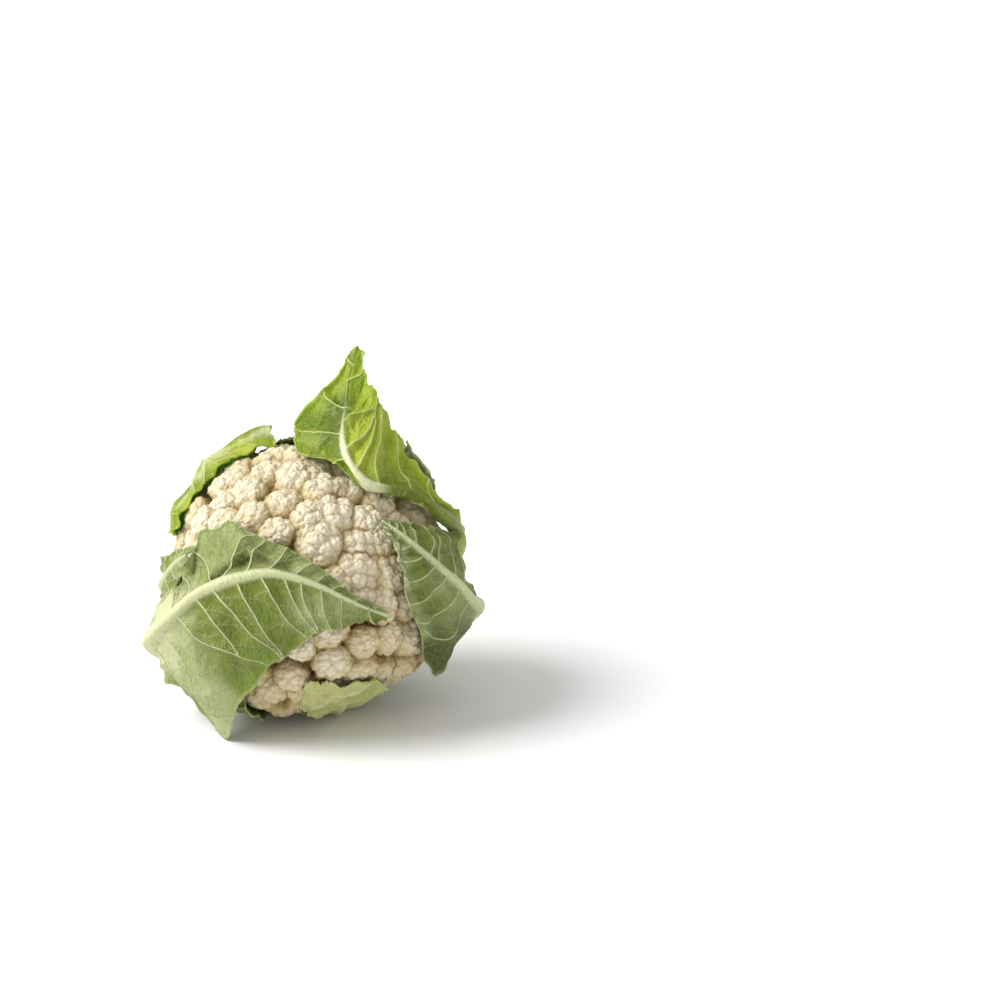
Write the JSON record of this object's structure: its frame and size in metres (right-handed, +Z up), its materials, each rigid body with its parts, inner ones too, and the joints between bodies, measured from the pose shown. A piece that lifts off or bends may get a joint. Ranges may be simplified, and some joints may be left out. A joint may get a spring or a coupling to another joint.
{
  "type": "cauliflower",
  "caption": "Whole cauliflower lying on its side: a round knobbly white head on a short cut stalk, wrapped in green jacket leaves, one of them standing up.",
  "frame": {"origin": "on the table, under the middle of the bounding box", "axes": "+Z up from the table, -Y towards the side that shows the top of the head, +X to that side's right; the head's own axis rises 45 degrees towards -Y"},
  "size_m": [0.1856, 0.1612, 0.1948],
  "materials": {
    "curd": "matte, creamy white",
    "stalk": "matte, pale green",
    "leaf": "matte with a waxy bloom, veined",
    "pale_leaf": "matte, pale green, veined"
  },
  "bodies": {
    "root": {"curd": "curd", "stalk": "stalk", "leaf_left_lobe": "leaf", "leaf_beneath": "pale_leaf", "leaf_lower_left": "leaf", "leaf_lower_right": "leaf", "leaf_back": "leaf", "leaf_top": "leaf", "leaf_front_left": "leaf", "leaf_right": "leaf", "leaf_upper_left": "leaf", "leaf_behind": "leaf"}
  },
  "joints": []
}
